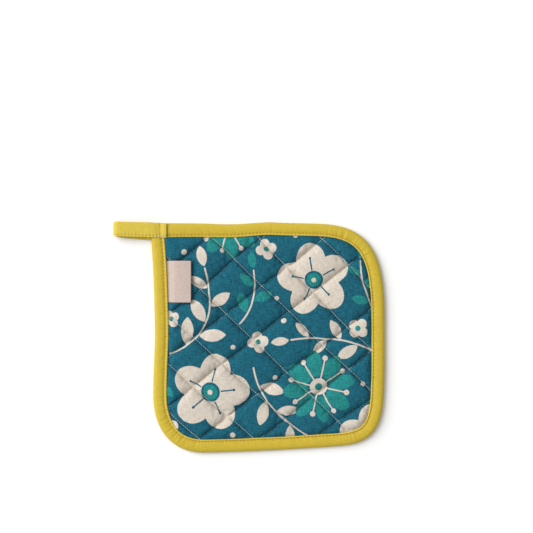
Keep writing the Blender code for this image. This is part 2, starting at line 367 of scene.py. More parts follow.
# The print, in two inks on dyed cloth: plain round blossoms, leafy sprigs and dots in a
# loose scatter. Each shape is a distance to its outline, in millimetres, below 0 inside it.
UNPRINTED_MM = 99.0
STEM_HALF_MM = 0.7
STEM_STEPS = 24
LEAF_LEAN_DEG, LEAF_STALK_MM, LEAF_SHRINK = 50.0, 1.6, 0.25
inks = {"cream": np.full(printed, UNPRINTED_MM), "turquoise": np.full(printed, UNPRINTED_MM)}


def paint(ink, gap):
    """Prints a shape in one ink over the others. Any other name is the bare cloth."""
    for name in inks:
        inks[name] = np.minimum(inks[name], gap) if name == ink else np.maximum(inks[name], -gap)


def seen_from(x, y, turn_deg):
    """The cloth's points from a motif's own middle, turned to lie along it."""
    c, s = heading(turn_deg)
    px, py = cloth_mm[:, 0] - x, cloth_mm[:, 1] - y
    return px * c + py * s, py * c - px * s


def disc(x, y, radius, middle=0.0):
    return np.hypot(x - middle, y) - radius


def leaf(x, y, length, width):
    """A pointed oval that starts at the motif's middle: where two discs overlap."""
    half, belly = length / 2.0, width / 2.0
    radius = (half**2 + belly**2) / (2.0 * belly)
    apart = radius - belly
    return np.maximum(np.hypot(x - half, y - apart), np.hypot(x - half, y + apart)) - radius


def ring_of(count, x, y):
    """The points folded round, so that one shape along +X repeats round the middle."""
    sector = 2.0 * math.pi / count
    angle = (np.arctan2(y, x) + sector / 2.0) % sector - sector / 2.0
    radius = np.hypot(x, y)
    return radius * np.cos(angle), radius * np.sin(angle)


def oval(x, y, middle, length, width):
    long, wide = (x - middle) / (length / 2.0), y / (width / 2.0)
    return (np.hypot(long, wide) - 1.0) * min(length, width) / 2.0


def blossom(x, y, size, turn_deg):
    """Five broad petals, each with a stamen, round a turquoise eye."""
    px, py = seen_from(x, y, turn_deg)
    fx, fy = ring_of(5, px, py)
    paint("cream", oval(fx, fy, 0.55 * size, 0.94 * size, 0.80 * size))
    paint("cloth", np.maximum(np.abs(fy) - 0.6, np.abs(fx - 0.42 * size) - 0.15 * size))
    paint("cloth", disc(fx, fy, 0.035 * size, 0.60 * size))
    paint("cloth", disc(px, py, 0.25 * size))
    paint("turquoise", disc(px, py, 0.19 * size))
    paint("cream", disc(px, py, 0.065 * size))


def pinwheel(x, y, size, turn_deg):
    """Eight round turquoise petals and eight cream stamens, round a cream eye."""
    px, py = seen_from(x, y, turn_deg)
    fx, fy = ring_of(8, px, py)
    paint("turquoise", oval(fx, fy, 0.62 * size, 0.70 * size, 0.40 * size))
    bx, by = ring_of(8, *seen_from(x, y, turn_deg + 22.5))
    paint("cream", np.maximum(np.abs(by) - 0.6, np.abs(bx - 0.47 * size) - 0.25 * size))
    paint("cream", disc(bx, by, 0.07 * size, 0.76 * size))
    paint("cream", disc(px, py, 0.23 * size))
    paint("turquoise", disc(px, py, 0.10 * size))


def small_flower(x, y, size, turn_deg):
    """Four round cream petals and a turquoise eye."""
    px, py = seen_from(x, y, turn_deg)
    fx, fy = ring_of(4, px, py)
    paint("cream", disc(fx, fy, 0.44 * size, 0.52 * size))
    paint("turquoise", disc(px, py, 0.24 * size))


def berry(x, y, size, turn_deg):
    paint("cream", disc(*seen_from(x, y, turn_deg), size))


def sprig(stem, leaves, length, width, ink):
    """A thin curved stem with leaves on both sides in turn, and one at its end."""
    bends = np.array(stem, float)
    share = np.linspace(0.0, 1.0, STEM_STEPS + 1)[:, None]
    line = (1 - share) ** 2 * bends[0] + 2 * (1 - share) * share * bends[1] + share**2 * bends[2]
    run = np.diff(line, axis=0)
    gap = np.full(printed, UNPRINTED_MM)
    for a, step in zip(line[:-1], run):
        offset = cloth_mm[:, :2] - a
        along_it = np.clip(offset @ step / (step @ step), 0.0, 1.0)
        gap = np.minimum(gap, np.hypot(*(offset - along_it[:, None] * step).T))
    paint("cream", gap - STEM_HALF_MM)
    for number in range(leaves + 1):
        place = round(STEM_STEPS * (number + 1) / (leaves + 1))
        step = run[min(place, STEM_STEPS - 1)]
        lean = 0.0 if number == leaves else LEAF_LEAN_DEG * (-1) ** number
        turn = math.degrees(math.atan2(step[1], step[0])) + lean
        px, py = seen_from(*line[place], turn)
        grown = 1.0 - LEAF_SHRINK * number / leaves
        paint(ink, leaf(px - LEAF_STALK_MM, py, length * grown, width * grown))


sprig(((-68.0, -14.0), (-22.0, 2.0), (-38.0, 60.0)), 5, 24.0, 11.0, "cream")
sprig(((-8.0, 12.0), (8.0, 26.0), (4.0, 58.0)), 3, 19.0, 9.0, "turquoise")
sprig(((108.0, -12.0), (76.0, 4.0), (36.0, -2.0)), 4, 20.0, 9.0, "cream")
sprig(((4.0, -26.0), (10.0, -62.0), (50.0, -84.0)), 4, 22.0, 10.0, "cream")
sprig(((110.0, 20.0), (96.0, 40.0), (96.0, 66.0)), 3, 15.0, 7.0, "turquoise")
sprig(((-78.0, -28.0), (-76.0, -48.0), (-78.0, -62.0)), 2, 14.0, 7.0, "turquoise")
Motif = namedtuple("Motif", "draw x y size turn_deg")
for motif in (
    Motif(blossom, -33.0, -47.0, 33.0, 78.0),
    Motif(blossom, 56.0, 50.0, 31.0, 100.0),
    Motif(blossom, 106.0, -86.0, 28.0, 20.0),
    Motif(pinwheel, 60.0, -42.0, 32.0, 10.0),
    Motif(pinwheel, -18.0, 96.0, 29.0, 8.0),
    Motif(small_flower, 8.0, -4.0, 10.0, 10.0),
    Motif(small_flower, 94.0, 8.0, 9.5, 50.0),
    Motif(small_flower, -70.0, -80.0, 11.0, 40.0),
    Motif(small_flower, 15.0, 76.0, 9.5, 15.0),
    Motif(small_flower, -67.0, 16.0, 8.0, 30.0),
    Motif(berry, -56.0, 74.0, 2.4, 0.0),
    Motif(berry, -14.0, -84.0, 2.3, 0.0),
    Motif(berry, 30.0, 14.0, 2.3, 0.0),
    Motif(berry, 22.0, -34.0, 2.1, 0.0),
    Motif(berry, 92.0, 82.0, 2.4, 0.0),
    Motif(berry, -14.0, -8.0, 2.1, 0.0),
    Motif(berry, 40.0, 88.0, 2.1, 0.0),
    Motif(berry, 98.0, -40.0, 2.2, 0.0),
    Motif(berry, 12.0, -68.0, 2.0, 0.0),
    Motif(berry, 24.0, 34.0, 2.0, 0.0),
):
    motif.draw(motif.x, motif.y, motif.size, motif.turn_deg)

# The back isn't printed, and its weave lies as its points do.
plain = np.full(len(pad_mesh.vertices) - printed, UNPRINTED_MM)
for ink, gap in inks.items():
    store(pad_mesh, ink + "_ink", np.append(gap, plain))
cloth_mm = np.concatenate((cloth_mm, points_of(pad_mesh)[printed:]))
pad_mesh.attributes["cloth_mm"].data.foreach_set("vector", cloth_mm.ravel())


def dye(hex_colour):
    """An sRGB hex colour as linear RGBA."""
    parts = [int(hex_colour[k : k + 2], 16) / 255.0 for k in (1, 3, 5)]
    linear = [v / 12.92 if v <= 0.04045 else ((v + 0.055) / 1.055) ** 2.4 for v in parts]
    return (*linear, 1.0)


def add(tree, kind, settings, inputs):
    """Adds a node. Its inputs, by name or number, get a value, an output or a node's first."""
    made = tree.nodes.new(kind)
    for name, value in settings.items():
        setattr(made, name, value)
    for key, value in inputs.items():
        matching = (s for s in made.inputs if key in (s.identifier, s.name))
        socket = made.inputs[key] if isinstance(key, int) else next(matching)
        value = value.outputs[0] if isinstance(value, bpy.types.Node) else value
        if isinstance(value, bpy.types.NodeSocket):
            tree.links.new(value, socket)
        else:
            socket.default_value = value
    return made


def new_material(name):
    """(material, its node tree, its Principled shader)."""
    made = bpy.data.materials.new(name)
    made.use_nodes = True
    return made, made.node_tree, made.node_tree.nodes["Principled BSDF"]


def threads(tree, place, across_mm, long_mm):
    """Uneven threads running both ways, from 0 to 1, for a colour or a height."""
    ways = []
    for stretch in ((1 / long_mm, 1 / across_mm, 1.0), (1 / across_mm, 1 / long_mm, 1.0)):
        mapped = add(tree, "ShaderNodeMapping", {}, {"Vector": place, "Scale": stretch})
        noisy = {"Vector": mapped, "Scale": 1.0, "Detail": 2.0, "Roughness": 0.6}
        ways.append(add(tree, "ShaderNodeTexNoise", {}, noisy))
    both = add(tree, "ShaderNodeMath", {"operation": "ADD"}, {0: ways[0], 1: ways[1]})
    return add(tree, "ShaderNodeMath", {"operation": "MULTIPLY"}, {0: both, 1: 0.5})


def tinted(tree, colour, value, amount):
    """The colour made lighter and darker by a value that is 0.5 where it is unchanged."""
    spread = {"Value": value, 1: 0.25, 2: 0.75, 3: 1.0 - amount, 4: 1.0 + amount}
    gain = add(tree, "ShaderNodeMapRange", {"clamp": False}, spread)
    times = {"data_type": "RGBA", "blend_type": "MULTIPLY"}
    both = {"Factor_Float": 1.0, "A_Color": colour, "B_Color": gain}
    return add(tree, "ShaderNodeMix", times, both).outputs[2]


def cloth_finish(tree, shader, colour, weave, strength, depth_mm, roughness, specular, sheen):
    """Gives a cloth its colour, its weave's relief, and how little it shines."""
    tree.links.new(colour, shader.inputs["Base Color"])
    relief = {"Strength": strength, "Distance": depth_mm * MM, "Height": weave}
    relief = add(tree, "ShaderNodeBump", {}, relief)
    tree.links.new(relief.outputs[0], shader.inputs["Normal"])
    shader.inputs["Roughness"].default_value = roughness
    shader.inputs["Specular IOR Level"].default_value = specular
    shader.inputs["Sheen Weight"].default_value = sheen


# Printed quilting cotton, plain weave, dyed teal and screen printed: matt, with a slightly
# mottled colour. Its threads are 0.4 mm apart, and are drawn 0.7 mm apart, to show. Where
# an ink meets them, its edge is a little ragged.
RAGGED_MM = 0.22
print_cotton, tree, shader = new_material("printed_quilting_cotton")
place = add(tree, "ShaderNodeAttribute", {"attribute_name": "cloth_mm"}, {}).outputs["Vector"]
weave = threads(tree, place, 0.7, 5.0)
ragged = add(tree, "ShaderNodeTexNoise", {}, {"Vector": place, "Scale": 1.3, "Detail": 1.0})
colour = tinted(tree, dye("#1B5A6C"), weave, 0.8)
for ink, hex_colour, mottle in (("turquoise", "#237D7B", 0.7), ("cream", "#C9BFB2", 0.3)):
    gap = add(tree, "ShaderNodeAttribute", {"attribute_name": ink + "_ink"}, {}).outputs["Fac"]
    wander = {0: ragged, 1: RAGGED_MM, 2: gap}
    edge = add(tree, "ShaderNodeMath", {"operation": "MULTIPLY_ADD"}, wander)
    inked = add(tree, "ShaderNodeMapRange", {}, {"Value": edge, 1: 0.26, 2: -0.04, 3: 0.0, 4: 1.0})
    ink_colour = tinted(tree, dye(hex_colour), weave, mottle)
    mixed = {"Factor_Float": inked, "A_Color": colour, "B_Color": ink_colour}
    colour = add(tree, "ShaderNodeMix", {"data_type": "RGBA"}, mixed).outputs[2]
cloth_finish(tree, shader, colour, weave, 0.35, 0.2, roughness=0.95, specular=0.12, sheen=0.02)
pad_mesh.materials.append(print_cotton)
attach(pad, "root")
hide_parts("quilted_pad")

# The quilting's stitches. Pale spun polyester thread, lockstitched every 2.2 mm through all
# the layers, so that it shows on both faces. It sinks between the puffs.
QUILT_PITCH_MM, QUILT_STITCH_MM, QUILT_THREAD_MM, QUILT_TILT = 2.2, 2.35, 0.42, 0.04
FALLING_LIFT_MM, RISING_LIFT_MM, BACK_LIFT_MM = 0.16, -0.1, 0.1
UNDER_TAPE_MM = 1.0
ROW_STEPS = 400


def surface_of(piece):
    """The piece's faces, for points to be dropped onto."""
    mesh = piece.data
    return BVHTree.FromPolygons([v.co for v in mesh.vertices], [p.vertices for p in mesh.polygons])


def laid_on(surface, points_mm, lift_mm, way=-1):
    """The points dropped onto a surface from above, or with way 1 from below, and lifted off
    it a little, in metres."""
    laid = []
    for x, y in points_mm:
        hit = surface.ray_cast(Vector((x * MM, y * MM, -0.05 * way)), Vector((0, 0, way)))[0]
        if hit:
            laid.append((hit.x, hit.y, hit.z - way * lift_mm * MM))
    return laid


def lines_of(name, paths):
    """Open lines of points as one object, for stitches to follow."""
    mesh = bpy.data.meshes.new(name)
    points, edges = [], []
    for path in paths:
        first = len(points)
        points += path
        edges += [(k, k + 1) for k in range(first, first + len(path) - 1)]
    mesh.from_pydata(points, edges, [])
    return placed(name, mesh)


def new_tree(name, inputs, output):
    """(geometry node tree, its inputs' sockets). Each input is a name and a kind."""
    tree = bpy.data.node_groups.new(name, "GeometryNodeTree")
    for socket_name, kind in inputs:
        kind = "NodeSocket" + kind
        tree.interface.new_socket(socket_name, in_out="INPUT", socket_type=kind)
    tree.interface.new_socket(output, in_out="OUTPUT", socket_type="NodeSocketGeometry")
    return tree, tree.nodes.new("NodeGroupInput").outputs


def put_through(obj, tree, values, name):
    """The object put through a tree with these values of its inputs, as a plain mesh."""
    modifier = obj.modifiers.new(tree.name, "NODES")
    modifier.node_group = tree
    for socket_name, value in values.items():
        modifier[tree.interface.items_tree[socket_name].identifier] = value
    return plain_copy(obj, name)


def stitch_tree():
    """Geometry nodes: stitches of one length and thickness along each line."""
    inputs = [("Lines", "Geometry"), ("Pitch", "Float"), ("Length", "Float"), ("Thread", "Float")]
    inputs += [("Tilt", "Float"), ("Thread material", "Material")]
    tree, given = new_tree("row_of_stitches", inputs, "Stitches")
    curves = add(tree, "GeometryNodeMeshToCurve", {}, {0: given["Lines"]})
    spaced = {"Curve": curves, "Length": given["Pitch"]}
    along = add(tree, "GeometryNodeResampleCurve", {"mode": "LENGTH"}, spaced)
    ball = add(tree, "GeometryNodeMeshUVSphere", {}, {"Segments": 6, "Rings": 5, "Radius": 0.5})
    thick = given["Thread"]
    size = add(tree, "ShaderNodeCombineXYZ", {}, {0: given["Length"], 1: thick, 2: thick})
    run = add(tree, "GeometryNodeInputTangent", {}, {})
    turn = add(tree, "FunctionNodeAlignRotationToVector", {"axis": "X"}, {"Vector": run})
    low = add(tree, "ShaderNodeMath", {"operation": "MULTIPLY"}, {0: given["Tilt"], 1: -1.0})
    range_of_lean = {2: low, 3: given["Tilt"], "Seed": 4}
    lean = add(tree, "FunctionNodeRandomValue", {"data_type": "FLOAT"}, range_of_lean)
    yaw = add(tree, "ShaderNodeCombineXYZ", {}, {2: lean.outputs[1]})
    angle = add(tree, "FunctionNodeEulerToRotation", {}, {0: yaw})
    both = {0: turn, 1: angle}
    turned = add(tree, "FunctionNodeRotateRotation", {"rotation_space": "LOCAL"}, both)
    copies = {"Points": along, "Instance": ball, "Rotation": turned, "Scale": size}
    laid = add(tree, "GeometryNodeInstanceOnPoints", {}, copies)
    real = add(tree, "GeometryNodeRealizeInstances", {}, {0: laid})
    smooth = add(tree, "GeometryNodeSetShadeSmooth", {}, {0: real})
    finished = {"Geometry": smooth, "Material": given["Thread material"]}
    add(tree, "NodeGroupOutput", {}, {0: add(tree, "GeometryNodeSetMaterial", {}, finished)})
    return tree


def stitched(lines, name, material, pitch_mm, length_mm, thread_mm, tilt=0.1):
    """The lines turned into stitches, as a plain mesh."""
    sizes = {"Pitch": pitch_mm * MM, "Length": length_mm * MM, "Thread": thread_mm * MM}
    sizes |= {"Tilt": tilt, "Thread material": material}
    return put_through(lines, stitches, sizes, name)


def sewing_thread(name, hex_colour):
    """Spun polyester thread, 0.4 mm thick, with a faint shine."""
    made, _, shader = new_material(name)
    shader.inputs["Base Color"].default_value = dye(hex_colour)
    shader.inputs["Roughness"].default_value = 0.6
    shader.inputs["Sheen Weight"].default_value = 0.15
    return made


stitches = stitch_tree()
pale_thread = sewing_thread("pale_polyester_thread", "#CFCBC0")
pad_surface = surface_of(pad)
quilting = {"falling": [], "rising": [], "back": []}
for name, rows, others, lift_mm in (
    ("falling", FALLING, RISING, FALLING_LIFT_MM),
    ("rising", RISING, FALLING, RISING_LIFT_MM),
):
    for index in range(1, len(rows) - 1):
        of_row, of_others = np.array([index]), np.linspace(0.0, len(others) - 1.0, ROW_STEPS)
        pair = (of_row, of_others) if name == "falling" else (of_others, of_row)
        seam = crossings(*pair).reshape(-1, 2)
        seam = seam[depth_in(seam, edge_mm)[0] > TAPE_FACE_MM - UNDER_TAPE_MM]
        if len(seam) > 4:
            quilting[name].append(laid_on(pad_surface, seam, lift_mm))
            quilting["back"].append(laid_on(pad_surface, seam, BACK_LIFT_MM, way=1))
for name, paths in quilting.items():
    sizes = QUILT_PITCH_MM, QUILT_STITCH_MM, QUILT_THREAD_MM, QUILT_TILT
    seams = lines_of(name + "_rows", paths)
    seams = stitched(seams, name + "_quilting_stitches", pale_thread, *sizes)
    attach(seams, "root")

# The edge binding. One strip of yellow cotton tape, pressed double, folded over the cut edge
# and topstitched near its inner edge on both faces at once. The stitches sink into a groove
# and the free lip stands up beside it. It begins under the loop at the square corner.
TAPE_STEP_MM = 0.7
TAPE_START_MM = 12.3
TAPE_PITCH_MM = 3.1
TAPE_ROW_MM = 9.45
# How far it stands and dips: gathers beside the stitches, broad swells, wrinkles at the round
# corners, and the stitches' own dips.
GATHER_MM, GATHER_LENGTH_MM = 0.3, 4.2
SWELL_MM, SWELL_LENGTH_MM = 0.16, 19.0
WRINKLE_MM, WRINKLE_LENGTH_MM = 0.5, 2.6
DIP_MM = 0.2
# The gathers slant, and every fold changes more slowly across the tape than along it. Away
# from the row the gathers keep this share of their height.
GATHER_SLANT, FOLD_STRETCH, WRINKLE_STRETCH, GATHER_AWAY = 0.45, 0.35, 0.12, 0.45
# How far from the row its puckers reach, and how far its darkening does: needle holes, over a
# painted shade of the stitched groove. How dark that is: this much halfway, and so much more or
# less at a hole or between two.
PUCKER_REACH_MM, HOLE_SHADE_REACH_MM = 1.5, 0.75
HOLE_SHADE_MEAN, HOLE_SWING = 0.55, 0.45
# The section: how deep from the edge each bend is, its height, and how freely it gathers.
Bend = namedtuple("Bend", "depth height lift")
TAPE_SECTION = (
    Bend(11.2, 4.2, 0.3),
    Bend(11.5, 4.6, 0.6),
    Bend(11.45, 5.0, 0.9),
    Bend(11.2, 5.35, 1.0),
    Bend(10.85, 5.55, 1.0),
    Bend(10.5, 5.6, 0.9),
    Bend(10.15, 5.42, 0.7),
    Bend(9.8, 5.1, 0.3),
    Bend(9.45, 4.93, 0.1),
    Bend(9.1, 5.02, 0.4),
    Bend(8.7, 5.18, 0.9),
    Bend(8.1, 5.38, 1.0),
    Bend(7.1, 5.6, 1.0),
    Bend(6.0, 5.7, 0.9),
    Bend(4.6, 5.7, 0.8),
    Bend(3.2, 5.57, 0.6),
    Bend(2.1, 5.28, 0.4),
    Bend(1.1, 4.65, 0.3),
    Bend(0.4, 3.7, 0.15),
    Bend(0.12, 2.7, 0.1),
    Bend(0.14, 1.9, 0.0),
    Bend(0.65, 1.0, 0.0),
    Bend(1.6, 0.35, 0.0),
    Bend(3.0, 0.03, 0.0),
    Bend(6.0, 0.0, 0.0),
    Bend(8.6, 0.0, 0.0),
    Bend(9.1, 0.3, 0.0),
    Bend(9.45, 0.5, 0.0),
    Bend(9.8, 0.3, 0.0),
    Bend(10.9, 0.0, 0.0),
    Bend(11.2, 0.4, 0.0),
    Bend(11.0, 0.8, 0.0),
    Bend(8.0, 0.9, 0.0),
    Bend(4.2, 1.0, 0.0),
    Bend(2.2, 1.9, 0.0),
    Bend(2.2, 3.2, 0.1),
    Bend(4.0, 4.2, 0.2),
    Bend(7.0, 4.3, 0.2),
    Bend(9.8, 4.0, 0.0),
)
# It was guided by hand: how far inwards of their usual depth the tape's lip and the row of
# stitches beside it lie, by how far round the tape they are.
Drift = namedtuple("Drift", "travel lip row")
TAPE_DRIFT = (
    Drift(10.0, 0.45, -0.5),
    Drift(160.0, 0.45, -0.6),
    Drift(190.0, 0.15, 0.1),
    Drift(230.0, 0.05, 0.5),
    Drift(340.0, 0.05, 0.5),
    Drift(370.0, 0.0, 0.1),
    Drift(400.0, 0.05, 0.4),
    Drift(505.0, 0.05, 0.4),
    Drift(545.0, -0.6, 0.3),
    Drift(580.0, -0.45, 0.1),
    Drift(650.0, -0.4, 0.1),
    Drift(690.0, 0.3, 0.4),
    Drift(720.0, 0.8, 0.6),
)


def along_line(line, places):
    """Points at distances along a line of points, and the unit direction there."""
    steps = np.linalg.norm(np.diff(line, axis=0), axis=1)
    travelled = np.concatenate(([0.0], np.cumsum(steps)))
    points = np.stack([np.interp(places, travelled, line[:, k]) for k in range(line.shape[1])], 1)
    run = np.gradient(points, axis=0)
    return points, run / np.linalg.norm(run, axis=1, keepdims=True)


def face_outwards(mesh):
    """Turns the faces of a closed mesh outwards, and shades them smoothly."""
    solid = bmesh.new()
    solid.from_mesh(mesh)
    bmesh.ops.recalc_face_normals(solid, faces=solid.faces)
    solid.to_mesh(mesh)
    solid.free()
    mesh.shade_smooth()


def tube(name, rings_mm):
    """A closed mesh through rings of points, with its two ends capped, in metres."""
    count, round_it = rings_mm.shape[:2]
    index = np.arange(count * round_it).reshape(count, round_it)
    after = np.roll(index, -1, axis=1)
    sides = np.stack((index[:-1], index[1:], after[1:], after[:-1]), -1).reshape(-1, 4)
    mesh = bpy.data.meshes.new(name)
    faces = sides.tolist() + [index[0].tolist(), index[-1][::-1].tolist()]
    mesh.from_pydata((rings_mm.reshape(-1, 3) * MM).tolist(), [], faces)
    face_outwards(mesh)
    return placed(name, mesh)


# What the path carries at each of its points: how far round it is, how tightly it turns, how
# hard the loop presses it, and the drift of its lip and of its row. And what the section
# carries at each of its bends: its depth, how freely it gathers, whether it gives under the
# needle or belongs to the lip, and how near the row it is.
PATH_FIELDS = ("travel_mm", "tight", "pressed_mm", "lip_mm", "row_mm")
SECTION_FIELDS = ("reach_mm", "lift", "give", "at_lip", "at_row")


def tape_tree():
    """Geometry nodes: a section swept along a path, gathered and dipped beside its stitches."""
    inputs = [("Path", "Geometry"), ("Section", "Object"), ("Row depth", "Float")]
    inputs += [("Pitch", "Float"), ("Gather", "Float"), ("Gather length", "Float")]
    inputs += [("Swell", "Float"), ("Swell length", "Float"), ("Wrinkle", "Float")]
    inputs += [("Wrinkle length", "Float"), ("Dip", "Float"), ("Cloth", "Material")]
    tree, given = new_tree("folded_tape", inputs, "Tape")
    read = "GeometryNodeInputNamedAttribute"
    kept = {}
    for name in PATH_FIELDS + SECTION_FIELDS:
        kept[name] = add(tree, read, {"data_type": "FLOAT"}, {"Name": name})
    inward = add(tree, read, {"data_type": "FLOAT_VECTOR"}, {"Name": "inward"})
    math_node, vector_node, noise_node = (
        "ShaderNode" + kind for kind in ("Math", "VectorMath", "TexNoise")
    )
    plus, minus, times, over, times_plus, bell, cosine = (
        {"operation": name}
        for name in ("ADD", "SUBTRACT", "MULTIPLY", "DIVIDE", "MULTIPLY_ADD", "EXPONENT", "COSINE")
    )

    # The sweep: the section's X lies along the inward direction, and its Y stands up.
    curve = add(tree, "GeometryNodeMeshToCurve", {}, {0: given["Path"]})
    facing = {"Curve": curve, "Normal": inward}
    facing = add(tree, "GeometryNodeSetCurveNormal", {"mode": "FREE"}, facing)
    shape = add(tree, "GeometryNodeObjectInfo", {}, {"Object": given["Section"]})
    ring = add(tree, "GeometryNodeMeshToCurve", {}, {0: shape.outputs["Geometry"]})
    ring = add(tree, "GeometryNodeSetSplineCyclic", {}, {"Geometry": ring, "Cyclic": True})
    sweep = {"Curve": facing, "Profile Curve": ring, "Fill Caps": True}
    swept = add(tree, "GeometryNodeCurveToMesh", {}, sweep)

    # How near the row is, from 0 to 1, over a wide bell for the puckers and a narrow one for the
    # needle holes and the groove's painted shade, and where in the stitch this point is.
    off_row = add(tree, math_node, minus, {0: kept["reach_mm"], 1: given["Row depth"]})
    square = add(tree, math_node, times, {0: off_row, 1: off_row})
    bells = []
    for width_mm in (PUCKER_REACH_MM, HOLE_SHADE_REACH_MM):
        fall = add(tree, math_node, times, {0: square, 1: -1.0 / width_mm**2})
        bells.append(add(tree, math_node, bell, {0: fall}))
    near, at_hole_and_shade = bells
    stitch = add(tree, math_node, over, {0: kept["travel_mm"], 1: given["Pitch"]})
    phase = add(tree, math_node, times, {0: stitch, 1: 2.0 * math.pi})
    wave = add(tree, math_node, cosine, {0: phase})

    # Gathers that slant across the tape, broad swells, and at the round corners fine wrinkles
    # that run right across it. Each is a noise from -1 to 1.
    slant = {0: kept["reach_mm"], 1: GATHER_SLANT, 2: kept["travel_mm"]}
    slant = add(tree, math_node, times_plus, slant)
    across = add(tree, math_node, times, {0: kept["reach_mm"], 1: FOLD_STRETCH})
    slanting = add(tree, "ShaderNodeCombineXYZ", {}, {0: slant, 1: across, 2: 5.0})
    across = add(tree, math_node, times, {0: kept["reach_mm"], 1: WRINKLE_STRETCH})
    straight = add(tree, "ShaderNodeCombineXYZ", {}, {0: kept["travel_mm"], 1: across, 2: 9.0})
    folds = []
    for name, place in (("Gather", slanting), ("Swell", slanting), ("Wrinkle", straight)):
        scale = add(tree, math_node, over, {0: 1.0, 1: given[name + " length"]})
        lumps = add(tree, noise_node, {}, {"Vector": place, "Scale": scale, "Detail": 0.0})
        folds.append(add(tree, math_node, times_plus, {0: lumps, 1: 2.0, 2: -1.0}))
    corner = add(tree, math_node, times, {0: kept["tight"], 1: given["Wrinkle"]})
    wrinkles = add(tree, math_node, times, {0: folds[2], 1: corner})
    beside = add(tree, math_node, plus, {0: near, 1: GATHER_AWAY})
    small = add(tree, math_node, times, {0: folds[0], 1: given["Gather"]})
    small = add(tree, math_node, times, {0: small, 1: beside})
    stand = add(tree, math_node, times_plus, {0: folds[1], 1: given["Swell"], 2: small})
    stand = add(tree, math_node, plus, {0: stand, 1: wrinkles})
    dip = add(tree, math_node, times, {0: wave, 1: near})
    dip = add(tree, math_node, times, {0: dip, 1: given["Dip"]})
    stand = add(tree, math_node, minus, {0: stand, 1: dip})
    stand = add(tree, math_node, times, {0: stand, 1: kept["lift"]})
    press = add(tree, math_node, times, {0: kept["pressed_mm"], 1: kept["give"]})
    stand = add(tree, math_node, minus, {0: stand, 1: press})
    aside = add(tree, math_node, times, {0: kept["lip_mm"], 1: kept["at_lip"]})
    aside = {0: kept["row_mm"], 1: kept["at_row"], 2: aside}
    aside = add(tree, math_node, times_plus, aside)

    # Both moves together, in millimetres, then the needle holes with painted groove shade, and
    # the cloth.
    sideways = add(tree, vector_node, {"operation": "SCALE"}, {0: inward, "Scale": aside})
    upward = add(tree, "ShaderNodeCombineXYZ", {}, {2: stand})
    move = add(tree, vector_node, plus, {0: sideways, 1: upward})
    move = add(tree, vector_node, {"operation": "SCALE"}, {0: move, "Scale": MM})
    moved = add(tree, "GeometryNodeSetPosition", {}, {"Geometry": swept, "Offset": move})
    # The row's colour: darker at each needle hole, and painted shade all along the groove between
    # them.
    between = add(tree, math_node, times_plus, {0: wave, 1: -HOLE_SWING, 2: HOLE_SHADE_MEAN})
    hole = add(tree, math_node, times, {0: between, 1: at_hole_and_shade})
    hole = add(tree, math_node, times, {0: hole, 1: kept["give"]})
    hole = {"Geometry": moved, "Name": "needle_hole", "Value": hole}
    on_points = {"data_type": "FLOAT", "domain": "POINT"}
    holed = add(tree, "GeometryNodeStoreNamedAttribute", on_points, hole)
    real = add(tree, "GeometryNodeRealizeInstances", {}, {0: holed})
    smooth = add(tree, "GeometryNodeSetShadeSmooth", {}, {0: real})
    finished = {"Geometry": smooth, "Material": given["Cloth"]}
    add(tree, "NodeGroupOutput", {}, {0: add(tree, "GeometryNodeSetMaterial", {}, finished)})
    return tree


def cotton_tape(name, hex_colour):
    """Cotton twill tape, dyed yellow: smooth and close, and hardly shining. It is darker in its
    needle holes, with painted shade all along its stitched groove, and paler on its lip's crest,
    a painted highlight. Its threads are 0.3 mm apart, which doesn't show, so only the uneven
    ones are drawn."""
    made, tree, shader = new_material(name)
    place = add(tree, "ShaderNodeTexCoord", {}, {}).outputs["Object"]
    in_mm = add(tree, "ShaderNodeVectorMath", {"operation": "SCALE"}, {0: place, "Scale": 1000.0})
    weave = threads(tree, in_mm, 0.8, 4.0)
    colour = tinted(tree, dye(hex_colour), weave, 0.14)
    # Mixed in: a painted highlight on the lip's crest, and the needle holes with painted shade
    # along the stitched rows.
    for field, hex_mixed in (("painted_lip_highlight", "#D6BE4C"), ("needle_hole", "#A87E00")):
        share = add(tree, "ShaderNodeAttribute", {"attribute_name": field}, {}).outputs["Fac"]
        mixed = {"Factor_Float": share, "A_Color": colour, "B_Color": dye(hex_mixed)}
        colour = add(tree, "ShaderNodeMix", {"data_type": "RGBA"}, mixed).outputs[2]
    finish = {"roughness": 0.62, "specular": 0.3, "sheen": 0.03}
    cloth_finish(tree, shader, colour, weave, 0.25, 0.2, **finish)
    return made


# The path runs round the edge from under the loop, with finer steps towards its end, where
# the loop is stitched down over it and presses it flatter.
FINE_END_MM = 20.0
TURN_STEPS, TIGHT_RADIUS_MM = 21, 40.0
LIP_WAVER_MM, LIP_WAVER_LENGTH_MM = 0.2, 26.0
PRESSED_FROM_MM, PRESSED_OVER_MM, PRESSED_MM = 16.0, 0.9, 0.75
# Which of the section's bends follow the row, give under the needle, and drift with the lip,
# and where a painted highlight, a paler yellow, lies along the lip's crest.
ROW_REACH_OUT_MM, ROW_REACH_IN_MM = 1.9, 1.1
GIVES_ABOVE_MM, LIP_FROM_MM = 4.3, 6.0
LIP_HIGHLIGHT_AT_MM, LIP_HIGHLIGHT_REACH_MM, LIP_HIGHLIGHT_ABOVE_MM = 10.8, 0.55, 4.5
tape_length = np.linalg.norm(np.diff(edge_mm, axis=0), axis=1).sum()
travel = np.arange(TAPE_START_MM, tape_length - FINE_END_MM, TAPE_STEP_MM)
travel = np.append(travel, np.arange(travel[-1], tape_length, TAPE_STEP_MM / 2.0)[1:])
line, run = along_line(edge_mm, travel)
left = np.stack((-run[:, 1], run[:, 0]), 1)
turning = np.gradient(np.unwrap(np.arctan2(run[:, 1], run[:, 0])), travel)
turning = np.convolve(turning, np.full(TURN_STEPS, 1 / TURN_STEPS), "same")
